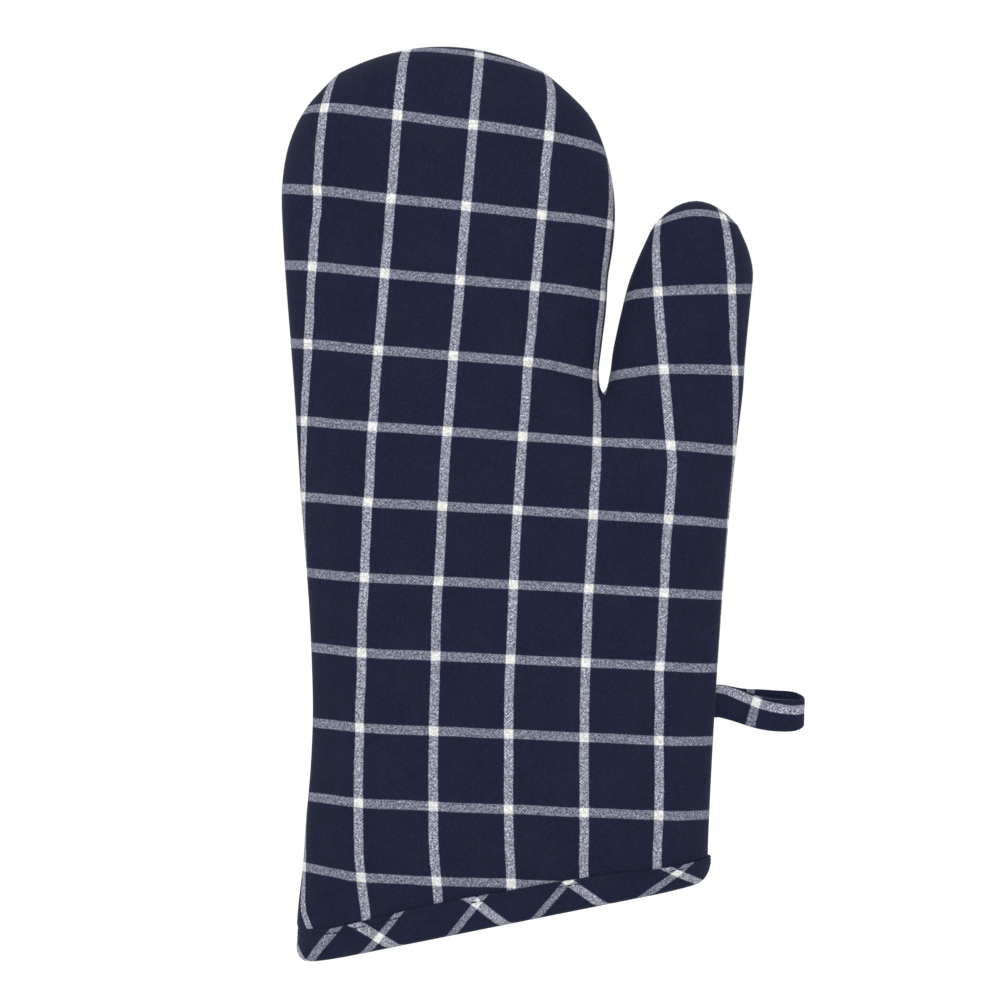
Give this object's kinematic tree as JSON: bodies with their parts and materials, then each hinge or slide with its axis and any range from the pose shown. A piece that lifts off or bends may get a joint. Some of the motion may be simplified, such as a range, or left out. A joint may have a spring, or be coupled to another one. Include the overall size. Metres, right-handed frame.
{
  "type": "oven mitt",
  "caption": "Padded cotton oven mitt with a thumb, an open slanted cuff bound in bias tape, and a hanging loop in the side seam.",
  "frame": {"origin": "centre of the cuff's open mouth, in the plane of the side seams", "axes": "+Z from the cuff to the fingertips, +X towards the thumb, +Y out of the back panel"},
  "size_m": [0.1886, 0.0304, 0.3302],
  "materials": {
    "check_cotton": "navy plain-weave cotton with an off-white windowpane check",
    "cotton_wadding": "soft needled cotton wadding",
    "lining_cotton": "undyed plain-weave cotton",
    "bias_binding": "the same check cotton, cut on the bias",
    "loop_strip": "the same check cotton, folded into a strip",
    "navy_thread": "twisted polyester sewing thread, slight sheen",
    "undyed_thread": "twisted cotton sewing thread, matt"
  },
  "bodies": {
    "mitt": {"shell_front": "check_cotton", "shell_back": "check_cotton", "wadding_front": "cotton_wadding", "wadding_back": "cotton_wadding", "lining_front": "lining_cotton", "lining_back": "lining_cotton", "cuff_binding": "bias_binding", "seam_thread": "navy_thread", "lining_thread": "undyed_thread", "binding_thread": "navy_thread", "loop_thread": "navy_thread"},
    "loop": {"hanging_loop": "loop_strip"}
  },
  "joints": [
    {"name": "loop_swing", "type": "hinge", "parent": "mitt", "child": "loop", "pos_m": [0.07713, 0, 0.079], "axis": [0, 0, 1], "range_deg": [-75, 75], "stiffness_Nm_per_rad": 0.0005}
  ]
}
